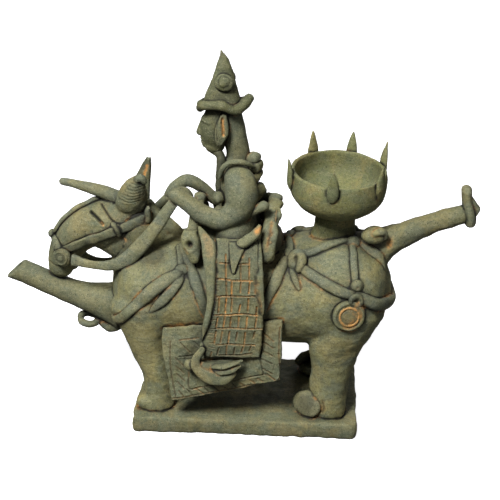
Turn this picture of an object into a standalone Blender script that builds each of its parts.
"""Grey earthenware vessel in the shape of a mounted horseman, fired as one piece.

Units are metres and +Z is up. The horse faces -X, its left flank is at -Y, and the origin is the
centre of the slab's underside. The trunk is hollow: liquid goes in at the cup on the rump, through
the bore of its stem, and comes out at the spout on the chest.

The figure's own forms are written as clay coils and sheets whose points are millimetres on a
vessel of POSE_LENGTH, with z counted from the ground under a slab of POSE_SLAB. figure_point()
turns them into metres, so the pose follows OVERALL_LENGTH and stands on the slab.
"""
import math

import bmesh
import bpy
import numpy as np
from mathutils import Matrix, Vector
from mathutils.bvhtree import BVHTree

# Driving sizes
OVERALL_LENGTH = 0.294
SLAB_LENGTH = 0.1435
SLAB_WIDTH = 0.078
SLAB_THICK = 0.011
SLAB_FLARE = 0.0055
SLAB_CORNER = 0.009
SLAB_EDGE = 0.0025
BODY_WALL = 0.0045
CUP_DIAMETER = 0.0576
CUP_WALL = 0.003
CUP_DEPTH = 0.027
CUP_TILT = math.radians(5)
STEM_DIAMETER = 0.0245
STEM_BORE = 0.011
SPIKE_LENGTH = 0.020
SPIKE_WIDTH = 0.0098
SPIKE_THICK = 0.0062
SPIKE_ABOVE_RIM = 0.0115
SPIKE_LEAN = math.radians(16)
SPOUT_BORE = 0.0085
STRAP_SIZE = 0.0056
SHEET_THICK = 0.0026
PANEL_THICK = 0.0034
RING_DIAMETER = 0.016
RING_SECTION = 0.0046
PENDANT_DIAMETER = 0.020

# Frame of the pose
POSE_LENGTH = 294.0
POSE_SLAB = 8.5
NEAR = -1
FAR = 1
SIDES = (NEAR, FAR)

# Modelling grain
CLAY_GRAIN = 0.0012
SEAT_GRAIN = 0.0022
FACE_COUNT = 8400
PATH_STEPS = 5
TURNED_STEPS = 36
MERGE = 0.00001

# Horse: each key is x, y, z, radius
TRUNK = ((-87, 0, 82, 12), (-80, 0, 82, 26), (-64, 0, 83, 33), (-38, 0, 83, 34.5), (0, 0, 83, 34),
         (30, 0, 85, 35), (55, 0, 87, 37.5), (71, 0, 88, 33), (80, 0, 88, 25), (85.5, 0, 88, 12))
TRUNK_WIDE = 1.05
NECK = ((-60, 0, 76, 27), (-68.5, 0, 98, 21), (-70, 0, 112, 17.5), (-73, 0, 125, 14), (-77, 0, 134, 10))
NECK_WIDE = 0.92
HEAD = ((-122.8, 0, 91.5, 8.4), (-121.2, 0, 98, 9.8), (-118, 0, 104.8, 10.9), (-111.5, 0, 112.5, 13),
        (-104, 0, 118, 14.8), (-96, 0, 121.5, 15.8), (-86, 0, 125.5, 14.8), (-76, 0, 130, 11.5))
HEAD_WIDE = 0.9
FORELOCK = ((-118, 0, 148.6, 1.9), (-105, 0, 146.4, 2.8), (-92, 0, 143.5, 3.4), (-82, 0, 139, 4))
EAR = ((-73, 10, 135, 8.5), (-71.5, 11.5, 145, 6.6), (-69.5, 12.5, 154, 3.9), (-68, 13, 160.5, 1.4))
HIND_LEG = ((60.5, 16, 83, 23.5), (57, 19, 60, 16.5), (54, 21.5, 41, 12.8), (53, 22, 24, 12),
            (53, 22.5, 9, 12.5))
FRONT_LEG = ((-66, 15, 76, 23), (-63, 20, 54, 15.6), (-58.5, 24.5, 34, 10.6), (-56, 26.5, 19, 9.2),
             (-56, 27, 9, 9.8))
FRONT_HOOF = ((-55, 28, 11, 8), (-61.5, 29, 11.5, 8))
HIND_HOOF = ((43, 27, 12.5, 7), (36.5, 28, 12, 6.5))
TAIL = ((66, 0, 107, 16), (78, 0, 117, 11.5), (86, 0, 122, 9), (106, 0, 132, 7), (127, 0, 141.3, 5.9))
TAIL_BAND = ((128.6, 0, 154, 3), (130.2, 0, 144.5, 3.6), (132, 0, 135.5, 3.2))
TAIL_TIP = ((128, 0, 143, 6), (131.5, 0, 144, 5), (135.8, 0, 144.6, 1.6))
SPOUT = ((-164, 0, 92.2, 7.1), (-136, 0, 80.4, 7.5), (-114, 0, 71.8, 8.4), (-96, 0, 67.5, 12), (-84, 0, 66, 17))
SPOUT_CUT = (-152, 0, 87.4)
SPOUT_CUT_LEAN = math.radians(48)
CUP_RIM = (50.1, 0, 166)

# Rider
TORSO = ((-6, 0, 118, 14), (-9, 0, 134, 11), (-11, 0, 150, 10.6), (-11.5, 0, 160, 10.4), (-11.5, 0, 166, 8))
TORSO_WIDE = 1.2
RIDER_NECK = ((-12, 0, 165, 8.2), (-15, 0, 182, 7.2), (-19.5, 0, 197, 7.4))
FACE = ((-21, 0, 197, 8.8), (-24.8, 0, 188, 10.2), (-26, 0, 180.5, 7.2))
HAT = ((-20.8, 0, 201, 11.6), (-20.8, 0, 207, 10.6), (-20.6, 0, 217, 7.2), (-20.8, 0, 227, 3.9),
       (-21.4, 0, 234, 1))
HAT_BRIM = ((-33.5, 0, 202, 2.3), (-30, -8, 201.5, 2.3), (-20, -11.3, 201, 2.3), (-11, -8, 201, 2.3),
            (-6, -2, 205.5, 2.6), (-4.6, 2, 206.5, 2.6), (-11, 8, 201, 2.3), (-20, 11.3, 201, 2.3),
            (-30, 8, 201.5, 2.3), (-33.5, 0, 202, 2.3))
HAT_DISC = (-20.5, 7, 216, 4.8)
NEAR_ARM = ((-10.5, -11, 163, 7.6), (-8, -17, 162, 8.9), (-6.3, -19, 155, 8.8), (-8.5, -20, 145.5, 8),
            (-18.5, -21, 138, 6.6), (-28.5, -21, 140, 6), (-37.5, -20, 146.5, 5.4), (-47, -18, 152, 4.8))
FAR_ARM = ((-11, 10, 158, 7.4), (-10, 14, 155, 7.6), (-9, 16, 148, 7), (-12, 17, 140, 6.2),
           (-19, 17, 135, 5), (-27, 16, 137, 4), (-34, 15, 143.5, 3.6), (-43, 14, 147.5, 3.6),
           (-51, 13, 143.5, 3.4), (-58, 12.5, 136, 3))
THUMB = ((-48, -15, 150, 3.4), (-43, -10, 149, 3.6))
LEG = ((-10, 12, 130, 13), (-14, 28, 118, 12), (-12, 35, 100, 9), (-10, 37, 80, 8), (-10, 41, 60, 6))
FOOT = ((-3.5, 45, 58, 4.4), (-14, 47, 56, 5), (-27, 48, 54, 5.2), (-36, 48, 52.5, 4.6))
STIRRUP = ((-28, 43, 68, 2), (-31, 49, 60, 2.6), (-24, 53, 49, 3), (-14, 51, 47.5, 2.6), (-6, 47, 50, 2))
BUNDLE = ((-6, 0, 170, 4.4), (-1.5, 0, 163.5, 5.2), (-0.5, 0, 156, 4.4), (0, 0, 147, 5.4))
CHEST_KNOB = (-21.5, -8, 152.5, 3.6)

# Saddle
CANTLE = ((9.7, -30, 108, 5), (10.5, -28, 118, 5), (11.3, -21, 129, 5), (12.2, -11, 138, 5),
          (12.6, 0, 141, 5), (12.2, 11, 138, 5), (11.3, 21, 129, 5), (10.5, 28, 118, 5), (9.7, 30, 108, 5))
POMMEL = ((-35, -30, 112, 5), (-36.5, -28, 122, 5), (-35, -19, 131, 4.8), (-32.5, -8, 142, 4.6),
          (-31.5, 0, 144.5, 4.6), (-32.5, 8, 142, 4.6), (-35, 19, 131, 4.8), (-36.5, 28, 122, 5),
          (-35, 30, 112, 5))
SEAT = ((-32, 0, 115, 11), (-12, 0, 117, 11), (8, 0, 117, 11))
SEAT_WIDE = 1.8

# Hanging sheets: rows of a front point and a rear point, top to bottom, on the near side
ARMOUR_PANEL = (((-24, -22, 136), (4, -26, 128)), ((-23, -38, 118), (6.5, -39, 116)),
                ((-22, -43, 100), (8.5, -43, 98)), ((-23, -45, 80), (9.5, -44.5, 78.5)),
                ((-28.5, -46, 57), (8.3, -46, 58)))
THIGH_FOLD = (((-33, -26, 136), (-23, -28, 136)), ((-30, -36, 122), (-20, -38, 122)),
              ((-25, -42, 106), (-17, -42.5, 106)), ((-22, -44.5, 90), (-17, -45, 90)))
MUDGUARD = (((-51.5, -35, 71), (21.5, -38, 83)), ((-51, -38, 58), (21.5, -40.5, 69)),
            ((-49.5, -40.5, 40), (21.5, -42, 55)), ((-47.5, -41.5, 23.5), (21.5, -42.5, 42.5)))

# Harness pressed on the body: each key is x, y, z near the surface, and a share of the strap size
BREECHING = (
    ((26.7, -23, 111, 1), (39.8, -30, 107, 1), (49.6, -34, 103, 1), (61, -35, 99, 1)),
    ((30, -19, 114.5, 1.1), (41.5, -16, 118.3, 1), (50.4, -12.4, 121.9, 0.9), (59, -10, 123, 0.7)),
    ((61.4, -13, 121.5, 0.8), (62.5, -24.8, 113.7, 0.8), (63.5, -30.6, 105.9, 0.8)),
    ((64, -11, 122, 1), (72, -13, 117.6, 0.9), (82, -16, 107.8, 0.7)),
    ((68.6, -32.7, 97.2, 1.1), (75.8, -28.6, 91.3, 1.25), (82.9, -19.3, 85.5, 1.3), (86, -8, 84, 1.2),
     (87, 0, 84, 1.2)),
    ((24.5, -20.7, 112, 1.2), (18.7, -27.4, 106.2, 1.4), (15.5, -32.5, 99.1, 1.4), (12, -35.6, 90, 1.3),
     (9.4, -36.3, 83.7, 1.2)),
    ((23, -6, 119, 1.3), (25, -16, 115, 1.1)),
    ((27.6, -26.9, 107.9, 0.8), (30.3, -33.3, 99.8, 0.6)),
)
BREAST_STRAPS = (
    ((-40, -27, 104, 1), (-51.4, -31.8, 96, 1), (-60.5, -32.6, 89, 1), (-69.2, -29.8, 80.7, 1),
     (-77.1, -24.7, 71.8, 1), (-84, -15, 66, 1), (-88, 0, 62, 1)),
    ((-45, -28.6, 102.9, 1.2), (-54.8, -29, 100.5, 1.5), (-60.8, -30.1, 97.3, 1.2),
     (-66.9, -29, 93.6, 0.6)),
    ((-42, -30.5, 99, 1), (-48, -33.3, 92, 1.4), (-53.5, -34, 86, 1.3), (-58.7, -33.3, 80.5, 0.6)),
    ((-36.4, -29.4, 102.5, 1.1), (-31.5, -34.4, 92.5, 1.2), (-26.4, -35.3, 78, 0.9)),
    ((-38.7, -25.2, 107.1, 1.1), (-41.4, -18.7, 112, 1), (-44, -8, 116, 1)),
)
CHEEK_STRAP = ((-116, -9.5, 106, 0.8), (-113, -11, 110, 0.8), (-98.5, -13.5, 117, 0.9),
               (-81.5, -13.5, 125.5, 1), (-65, -10.5, 131.5, 1))
NOSEBAND = ((-124.5, 0, 113, 0.9), (-123, -6, 108, 0.9), (-119.5, -9, 104, 0.9))
BRIDLE_KNOT = (-81.5, -14, 125.5, 4.2)
NOSE_BUTTON = (-127, 0, 113.5, 3.4)
HARNESS_BUTTONS = ((26.7, -23, 111.2, 4.6), (61.3, -12, 122, 4), (-40.5, -27.5, 105, 4.8))
OVAL_BUTTON = ((64.4, -31, 104, 4.4), (64.8, -35, 93, 4.6))
HIP_PENDANT = (61, -36.5, 83.5)
BIT_DISC = (-119, -9.5, 103.8, 6)
NEAR_REIN = ((-116, -14, 103, 3.2), (-109.5, -17, 102.5, 2.7), (-95.5, -18, 101.5, 2.8),
             (-85.5, -19, 103, 3), (-76, -20, 107, 4.4), (-68, -20, 116, 4.4), (-60, -19.5, 127.5, 3.4),
             (-53, -18.5, 138.5, 2.9), (-47.5, -18, 149, 2.9))
FAR_REIN = ((-116, 14, 103, 3.2), (-105, 17, 102, 2.7), (-88, 18, 104, 2.8), (-76, 18, 112, 2.8),
            (-67, 14, 125, 2.8), (-58, 12.5, 134, 2.8))
MANE = ((-74, 0, 140, 3.4), (-66, 0, 135, 4), (-56, 0, 126, 4.2), (-46, 0, 117, 4))
RUMP_EGG = ((71, -12, 128.5, 5.6), (77, -12, 131, 5.4))
CHEST_RING = (-104.5, -4, 56)
CHEST_RING_TILT = math.radians(12)
CHEST_LOOP = ((-98, -3, 55.5, 2.4), (-93, -3.5, 50.5, 4), (-88, -3, 54, 5))

SPIKE_ANGLES = tuple(math.radians(angle) for angle in (122, 71, 23, -23, -95, 195))
CLAY_COLOUR = (0.135, 0.138, 0.092, 1.0)
CLAY_ROUGHNESS = 0.82


def scale_share():
    """Metres for one millimetre of the pose."""
    return OVERALL_LENGTH / POSE_LENGTH


def figure_point(x, y, z):
    """The place in metres of a point of the pose, standing on the slab."""
    share = scale_share()
    return Vector((x * share, y * share, SLAB_THICK + (z - POSE_SLAB) * share))


def figure_key(key):
    """A coil key of the pose as x, y, z and radius in metres."""
    return (*figure_point(*key[:3]), key[3] * scale_share())


def mirrored(keys):
    """The same keys on the horse's other side."""
    return tuple((key[0], -key[1], *key[2:]) for key in keys)


def smooth_keys(keys, steps=PATH_STEPS):
    """A Catmull-Rom curve through the keys, radius and all."""
    keys = np.array(keys, float)
    ends = np.vstack([2 * keys[0] - keys[1], keys, 2 * keys[-1] - keys[-2]])
    rows = []
    for index in range(len(keys) - 1):
        a, b, c, d = ends[index:index + 4]
        for step in range(steps):
            t = step / steps
            rows.append(0.5 * (2 * b + (c - a) * t + (2 * a - 5 * b + 4 * c - d) * t ** 2
                               + (3 * b - a - 3 * c + d) * t ** 3))
    rows.append(keys[-1])
    return np.array(rows)


def rounded_ends(rows):
    """The keys with a half-round tip added at both ends."""
    def tip(end, before):
        direction = (end[:3] - before[:3]) / np.linalg.norm(end[:3] - before[:3])
        turns = np.radians((35, 62, 84))
        return [(*(end[:3] + direction * end[3] * math.sin(turn)), end[3] * math.cos(turn))
                for turn in turns]
    return np.vstack([tip(rows[0], rows[1])[::-1], rows, tip(rows[-1], rows[-2])])


def new_object(name, mesh, collection):
    """An object for the mesh, in the collection."""
    obj = bpy.data.objects.new(name, mesh)
    collection.objects.link(obj)
    return obj


def applied(obj):
    """The object's evaluated mesh in world space, with the modifiers gone and doubles welded."""
    bpy.context.view_layer.update()
    evaluated = obj.evaluated_get(bpy.context.evaluated_depsgraph_get())
    mesh = bpy.data.meshes.new_from_object(evaluated)
    mesh.transform(obj.matrix_world)
    shape = bmesh.new()
    shape.from_mesh(mesh)
    bmesh.ops.remove_doubles(shape, verts=shape.verts, dist=MERGE)
    bmesh.ops.recalc_face_normals(shape, faces=shape.faces)
    shape.to_mesh(mesh)
    shape.free()
    name = obj.name
    collection = obj.users_collection[0]
    bpy.data.objects.remove(obj)
    return new_object(name, mesh, collection)


def coil_from_rows(name, rows, collection, wide=1.0):
    """A clay coil along rows of x, y, z and radius in metres, widened across the horse."""
    curve = bpy.data.curves.new(name, "CURVE")
    curve.dimensions = "3D"
    curve.bevel_depth = 1.0
    curve.bevel_resolution = 6
    curve.use_fill_caps = True
    spline = curve.splines.new("POLY")
    spline.points.add(len(rows) - 1)
    for point, row in zip(spline.points, rows):
        point.co = (*row[:3], 1.0)
        point.radius = row[3]
    obj = bpy.data.objects.new(name, curve)
    collection.objects.link(obj)
    obj.scale.y = wide
    return applied(obj)


def coil(name, keys, collection, wide=1.0, tips=True):
    """A clay coil through keys of the pose."""
    rows = smooth_keys([figure_key(key) for key in keys])
    if tips:
        rows = rounded_ends(rows)
    return coil_from_rows(name, rows, collection, wide)


def ball(name, key, collection, scale=(1, 1, 1)):
    """A pressed pellet of clay."""
    x, y, z, radius = figure_key(key)
    bpy.ops.mesh.primitive_uv_sphere_add(segments=20, ring_count=12, radius=radius, location=(x, y, z))
    return adopt(name, collection, scale)


def adopt(name, collection, scale=(1, 1, 1)):
    """Names the active primitive, moves it to the collection and applies its scale."""
    obj = bpy.context.active_object
    obj.name = name
    obj.scale = scale
    for holder in list(obj.users_collection):
        holder.objects.unlink(obj)
    collection.objects.link(obj)
    return applied(obj)


def sheet(name, rows, thickness, collection):
    """A hanging sheet of clay between a front edge and a rear edge, thickened by Solidify."""
    columns = 8
    front = smooth_keys([figure_point(*row[0]) for row in rows])
    rear = smooth_keys([figure_point(*row[1]) for row in rows])
    shape = bmesh.new()
    grid = [[shape.verts.new(left + (right - left) * column / columns) for column in range(columns + 1)]
            for left, right in zip(front, rear)]
    for upper, lower in zip(grid, grid[1:]):
        for column in range(columns):
            shape.faces.new((upper[column], upper[column + 1], lower[column + 1], lower[column]))
    mesh = bpy.data.meshes.new(name)
    shape.to_mesh(mesh)
    shape.free()
    obj = new_object(name, mesh, collection)
    solid = obj.modifiers.new("thickness", "SOLIDIFY")
    solid.thickness = thickness
    solid.offset = 0
    return applied(obj)


def turned(name, profile, place, tilt, collection):
    """A solid turned about its own axis from a profile of radius and height, top to bottom."""
    mesh = bpy.data.meshes.new(name)
    points = [(radius, 0, height) for radius, height in profile]
    mesh.from_pydata(points, [(index, index + 1) for index in range(len(points) - 1)], [])
    obj = new_object(name, mesh, collection)
    screw = obj.modifiers.new("turning", "SCREW")
    screw.steps = TURNED_STEPS
    screw.render_steps = TURNED_STEPS
    screw.use_merge_vertices = True
    screw.merge_threshold = MERGE
    obj.rotation_euler = (tilt, 0, 0)
    obj.location = place
    return applied(obj)


def remeshed(obj, grain):
    """The object's islands fused into one skin of the given grain."""
    fuse = obj.modifiers.new("fuse", "REMESH")
    fuse.mode = "VOXEL"
    fuse.voxel_size = grain
    return applied(obj)


def joined(name, objects, collection):
    """One object that holds all the meshes."""
    shape = bmesh.new()
    for obj in objects:
        shape.from_mesh(obj.data)
    mesh = bpy.data.meshes.new(name)
    shape.to_mesh(mesh)
    shape.free()
    for obj in objects:
        bpy.data.objects.remove(obj)
    return new_object(name, mesh, collection)


def surface_of(objects, collection):
    """A search tree over the outer skin of the given coils, for seating straps on them."""
    copies = [new_object("seat", obj.data.copy(), collection) for obj in objects]
    skin = remeshed(joined("seat", copies, collection), SEAT_GRAIN)
    tree = BVHTree.FromPolygons([vertex.co for vertex in skin.data.vertices],
                                [tuple(face.vertices) for face in skin.data.polygons])
    bpy.data.objects.remove(skin)
    return tree


def pressed_coil(name, keys, surface, collection):
    """A strap pressed half into the body along keys that lie near its surface."""
    rough = smooth_keys([(*figure_point(*key[:3]), key[3] * STRAP_SIZE / 2) for key in keys])
    rows = []
    for row in rough:
        place, normal, _, _ = surface.find_nearest(Vector(row[:3]))
        rows.append((*(place + normal * row[3] * 0.35), row[3]))
    return coil_from_rows(name, rounded_ends(np.array(rows)), collection)


def pressed_ball(name, key, surface, collection):
    """A button of clay pressed on the body."""
    x, y, z, radius = figure_key(key)
    place, normal, _, _ = surface.find_nearest(Vector((x, y, z)))
    bpy.ops.mesh.primitive_uv_sphere_add(segments=20, ring_count=12, radius=radius,
                                         location=place + normal * radius * 0.3)
    return adopt(name, collection)


def ring(name, place, direction, diameter, section, collection):
    """A torus of clay whose axis is the direction."""
    turn = Vector(direction).to_track_quat("Z", "Y").to_euler()
    bpy.ops.mesh.primitive_torus_add(major_radius=(diameter - section) / 2, minor_radius=section / 2,
                                     major_segments=28, minor_segments=12, location=place,
                                     rotation=turn)
    return adopt(name, collection)


def slab(collection):
    """The flat slab, with some clay below its underside for the last cut."""
    under = SLAB_THICK / 2
    size = (SLAB_LENGTH, SLAB_WIDTH, SLAB_THICK + under)
    bpy.ops.mesh.primitive_cube_add(size=1, location=(0, 0, (SLAB_THICK - under) / 2))
    obj = adopt("slab", collection, size)
    for vertex in obj.data.vertices:
        if vertex.co.x < 0 and vertex.co.y < 0:
            vertex.co.y -= SLAB_FLARE
    corners = obj.modifiers.new("corners", "BEVEL")
    corners.affect = "EDGES"
    corners.limit_method = "WEIGHT"
    corners.width = SLAB_CORNER
    corners.segments = 5
    mark_upright_edges(obj.data)
    obj = applied(obj)
    edge = obj.modifiers.new("edge", "BEVEL")
    edge.width = SLAB_EDGE
    edge.segments = 3
    edge.limit_method = "ANGLE"
    edge.angle_limit = math.radians(50)
    return applied(obj)


def mark_upright_edges(mesh):
    """Gives the slab's four upright edges the weight that rounds its corners."""
    weights = mesh.attributes.new("bevel_weight_edge", "FLOAT", "EDGE")
    for edge in mesh.edges:
        first, second = (mesh.vertices[index].co for index in edge.vertices)
        weights.data[edge.index].value = float(abs(first.z - second.z) > SLAB_THICK / 2)


def horse_core(collection):
    """The trunk, neck, head and legs, which carry everything else."""
    parts = [coil("trunk", TRUNK, collection, TRUNK_WIDE, tips=False),
             coil("neck", NECK, collection, NECK_WIDE),
             coil("head", HEAD, collection, HEAD_WIDE),
             coil("tail", TAIL, collection)]
    for side in SIDES:
        for name, keys in (("hind leg", HIND_LEG), ("front leg", FRONT_LEG)):
            parts.append(coil(name, keys if side == FAR else mirrored(keys), collection))
    return parts


def horse_details(collection):
    """Ears, forelock, mane, hooves, tail end, spout and the loop under the chest."""
    parts = [coil("forelock", FORELOCK, collection),
             coil("mane", MANE, collection),
             coil("spout", SPOUT, collection, tips=False),
             coil("tail band", TAIL_BAND, collection, 2.2),
             coil("tail tip", TAIL_TIP, collection),
             coil("rump egg", RUMP_EGG, collection),
             coil("chest loop", CHEST_LOOP, collection),
             ring("chest ring", figure_point(*CHEST_RING), (0.15, -math.sin(CHEST_RING_TILT), 1),
                  RING_DIAMETER, RING_SECTION, collection)]
    for side in SIDES:
        for name, keys in (("ear", EAR), ("front hoof", FRONT_HOOF), ("hind hoof", HIND_HOOF)):
            parts.append(coil(name, keys if side == FAR else mirrored(keys), collection))
    return parts


def harness(surface, collection):
    """Straps, buttons, pendants and reins, the same on both flanks."""
    parts = [pressed_ball("nose button", NOSE_BUTTON, surface, collection),
             coil("near rein", NEAR_REIN, collection),
             coil("far rein", FAR_REIN, collection)]
    straps = (*BREECHING, *BREAST_STRAPS, CHEEK_STRAP, NOSEBAND)
    for side in SIDES:
        def placed(keys, side=side):
            return keys if side == NEAR else mirrored(keys)
        for keys in straps:
            parts.append(pressed_coil("strap", placed(keys), surface, collection))
        for key in (*HARNESS_BUTTONS, BRIDLE_KNOT):
            parts.append(pressed_ball("button", placed((key,))[0], surface, collection))
        parts.append(coil("oval button", placed(OVAL_BUTTON), collection))
        parts.append(pendant(placed((HIP_PENDANT,))[0], surface, collection))
        parts.append(bit_disc(placed((BIT_DISC,))[0], side, collection))
    return parts


def pendant(place, surface, collection):
    """The round pendant on the hip: a low disc seated on the body."""
    spot, normal, _, _ = surface.find_nearest(figure_point(*place))
    turn = normal.to_track_quat("Z", "Y").to_euler()
    bpy.ops.mesh.primitive_uv_sphere_add(segments=28, ring_count=14, radius=PENDANT_DIAMETER / 2,
                                         location=spot, rotation=turn)
    return adopt("hip pendant", collection, (1, 1, 0.32))


def bit_disc(key, side, collection):
    """The disc at the corner of the mouth, with the button in its middle."""
    x, y, z, radius = figure_key(key)
    bpy.ops.mesh.primitive_uv_sphere_add(segments=24, ring_count=12, radius=radius,
                                         location=(x, y, z), rotation=(math.radians(90), 0, 0))
    return adopt("bit disc", collection, (1, 1, 0.55))


def rider(collection):
    """The rider from hat to feet."""
    parts = [coil("torso", TORSO, collection, TORSO_WIDE),
             coil("neck of the rider", RIDER_NECK, collection, 0.95),
             coil("face", FACE, collection, 0.9),
             coil("hat", HAT, collection, 0.85),
             coil("hat brim", HAT_BRIM, collection),
             coil("near arm", NEAR_ARM, collection),
             coil("far arm", FAR_ARM, collection),
             coil("thumb", THUMB, collection),
             coil("bundle on the back", BUNDLE, collection, 1.5),
             ball("chest knob", CHEST_KNOB, collection)]
    for side in SIDES:
        x, y, z, radius = HAT_DISC
        parts.append(ball("hat disc", (x, side * y, z, radius), collection))
        for name, keys in (("leg", LEG), ("foot", FOOT), ("stirrup", STIRRUP)):
            parts.append(coil(name, keys if side == FAR else mirrored(keys), collection))
    return parts


def saddle(collection):
    """Cantle, pommel, seat and the sheets that hang over both flanks."""
    parts = [coil("cantle", CANTLE, collection),
             coil("pommel", POMMEL, collection),
             coil("seat", SEAT, collection, SEAT_WIDE),
             sheet("cantle plate", (((12.4, -5, 138), (12.4, 5, 138)), ((11.4, -18, 130), (11.4, 18, 130)),
                                        ((10, -27, 110), (10, 27, 110))),
                   figure_key((0, 0, 0, 7))[3], collection),
             sheet("pommel plate", (((-32, -4, 141), (-32, 4, 141)), ((-35, -16, 131), (-35, 16, 131)),
                                        ((-36, -28, 112), (-36, 28, 112))),
                   figure_key((0, 0, 0, 6))[3], collection)]
    for side in SIDES:
        for name, rows, thickness in (("armour panel", ARMOUR_PANEL, PANEL_THICK),
                                      ("thigh fold", THIGH_FOLD, PANEL_THICK),
                                      ("mudguard", MUDGUARD, SHEET_THICK)):
            placed = rows if side == NEAR else tuple(mirrored(row) for row in rows)
            parts.append(sheet(name, placed, thickness, collection))
    return parts


def cup(collection):
    """The cup's outer form and stem, with its ring of clay thorns."""
    rim = CUP_DIAMETER / 2
    stem = STEM_DIAMETER / 2
    floor = CUP_DEPTH + CUP_WALL
    profile = ((0, 0), (rim, 0), (rim * 1.01, -floor * 0.17), (rim * 0.985, -floor * 0.4),
               (rim * 0.87, -floor * 0.66), (rim * 0.68, -floor * 0.86), (stem * 1.1, -floor),
               (stem, -floor * 1.1), (stem * 1.08, -floor * 1.34), (stem * 1.4, -floor * 1.6),
               (stem * 1.4, -floor * 1.85), (0, -floor * 1.85))
    place = figure_point(*CUP_RIM)
    parts = [turned("cup", profile, place, CUP_TILT, collection)]
    tilt = Matrix.Translation(place) @ Matrix.Rotation(CUP_TILT, 4, "X")
    for angle in SPIKE_ANGLES:
        parts.append(spike(angle, tilt, collection))
    return parts


def spike(angle, tilt, collection):
    """One clay thorn on the cup's outer wall, leaning out."""
    bpy.ops.mesh.primitive_cone_add(vertices=14, radius1=SPIKE_WIDTH / 2, radius2=SPIKE_WIDTH * 0.06,
                                    depth=SPIKE_LENGTH)
    reach = CUP_DIAMETER / 2 + math.sin(SPIKE_LEAN) * (SPIKE_ABOVE_RIM - SPIKE_LENGTH / 2)
    height = SPIKE_ABOVE_RIM - math.cos(SPIKE_LEAN) * SPIKE_LENGTH / 2
    obj = bpy.context.active_object
    obj.matrix_world = (tilt @ Matrix.Rotation(angle, 4, "Z") @ Matrix.Translation((reach, 0, height))
                        @ Matrix.Rotation(SPIKE_LEAN, 4, "Y"))
    return adopt("thorn", collection, (SPIKE_THICK / SPIKE_WIDTH, 1, 1))


def bowl_cutter(collection):
    """The hollow of the cup with the bore of its stem, down into the trunk."""
    inner = CUP_DIAMETER / 2 - CUP_WALL
    bore = STEM_BORE / 2
    above = CUP_DEPTH * 0.2
    reach = figure_point(*CUP_RIM).z - figure_point(0, 0, 96).z
    profile = ((0, above), (inner, above), (inner, -CUP_DEPTH * 0.2), (inner * 0.95, -CUP_DEPTH * 0.5),
               (inner * 0.78, -CUP_DEPTH * 0.78), (inner * 0.5, -CUP_DEPTH * 0.95), (bore, -CUP_DEPTH),
               (bore, -reach), (0, -reach))
    return turned("bowl and stem bore", profile, figure_point(*CUP_RIM), CUP_TILT, collection)


def trunk_cutter(collection):
    """The hollow of the trunk, a wall's thickness inside its skin."""
    rows = smooth_keys([figure_key(key) for key in TRUNK], steps=2)
    rows[:, 3] -= BODY_WALL
    middle = rows[:, 0].mean()
    reach = abs(rows[0, 0] - middle)
    rows[:, 0] = middle + (rows[:, 0] - middle) * (reach - BODY_WALL) / reach
    hollow = coil_from_rows("hollow of the trunk", rows, collection, TRUNK_WIDE)
    return hollow


def spout_cutter(collection):
    """The spout's bore, from past its tip into the hollow of the trunk."""
    rows = smooth_keys([figure_key(key) for key in SPOUT], steps=1)
    rows[:, 3] = SPOUT_BORE / 2
    rows[0, :3] += (rows[0, :3] - rows[1, :3]) * 0.3
    return coil_from_rows("spout bore", rows, collection)


def box_cutter(name, place, lean, size, collection):
    """A block that trims the clay on one side of a plane through the place."""
    bpy.ops.mesh.primitive_cube_add(size=size)
    obj = bpy.context.active_object
    obj.matrix_world = (Matrix.Translation(place) @ Matrix.Rotation(lean, 4, "Y")
                        @ Matrix.Translation((-size / 2, 0, 0)))
    return adopt(name, collection)


def cut(body, cutter):
    """The body with the cutter's space taken out of it."""
    knife = body.modifiers.new("cut", "BOOLEAN")
    knife.operation = "DIFFERENCE"
    knife.object = cutter
    body = applied(body)
    bpy.data.objects.remove(cutter)
    return body


def thinned(obj):
    """The skin with its faces thinned to about FACE_COUNT, fewest where it is flat."""
    thin = obj.modifiers.new("thin", "DECIMATE")
    thin.ratio = FACE_COUNT / (2 * len(obj.data.polygons))
    return applied(obj)


def clay_material():
    """Fired grey clay with an olive cast."""
    material = bpy.data.materials.new("fired clay")
    material.use_nodes = True
    shader = material.node_tree.nodes["Principled BSDF"]
    shader.inputs["Base Color"].default_value = CLAY_COLOUR
    shader.inputs["Roughness"].default_value = CLAY_ROUGHNESS
    shader.inputs["Metallic"].default_value = 0.0
    return material


def build_vessel():
    """Shapes every form of clay, fuses them into one piece and cuts its hollows."""
    for obj in list(bpy.data.objects):
        bpy.data.objects.remove(obj)
    collection = bpy.data.collections.new("horseman vessel")
    bpy.context.scene.collection.children.link(collection)
    core = horse_core(collection)
    surface = surface_of(core, collection)
    forms = [slab(collection), *core, *horse_details(collection), *harness(surface, collection),
             *saddle(collection), *rider(collection), *cup(collection)]
    body = thinned(remeshed(joined("horseman_vessel", forms, collection), CLAY_GRAIN))
    cutters = (bowl_cutter(collection), trunk_cutter(collection), spout_cutter(collection),
               box_cutter("spout end", figure_point(*SPOUT_CUT), SPOUT_CUT_LEAN, 0.05, collection),
               box_cutter("underside", Vector((0, 0, 0)), -math.pi / 2, 2 * OVERALL_LENGTH, collection))
    for cutter in cutters:
        body = cut(body, cutter)
    body.name = "horseman_vessel"
    body.data.materials.clear()
    body.data.materials.append(clay_material())
    body.data.shade_smooth()
    body.data.set_sharp_from_angle(angle=math.radians(40))


build_vessel()
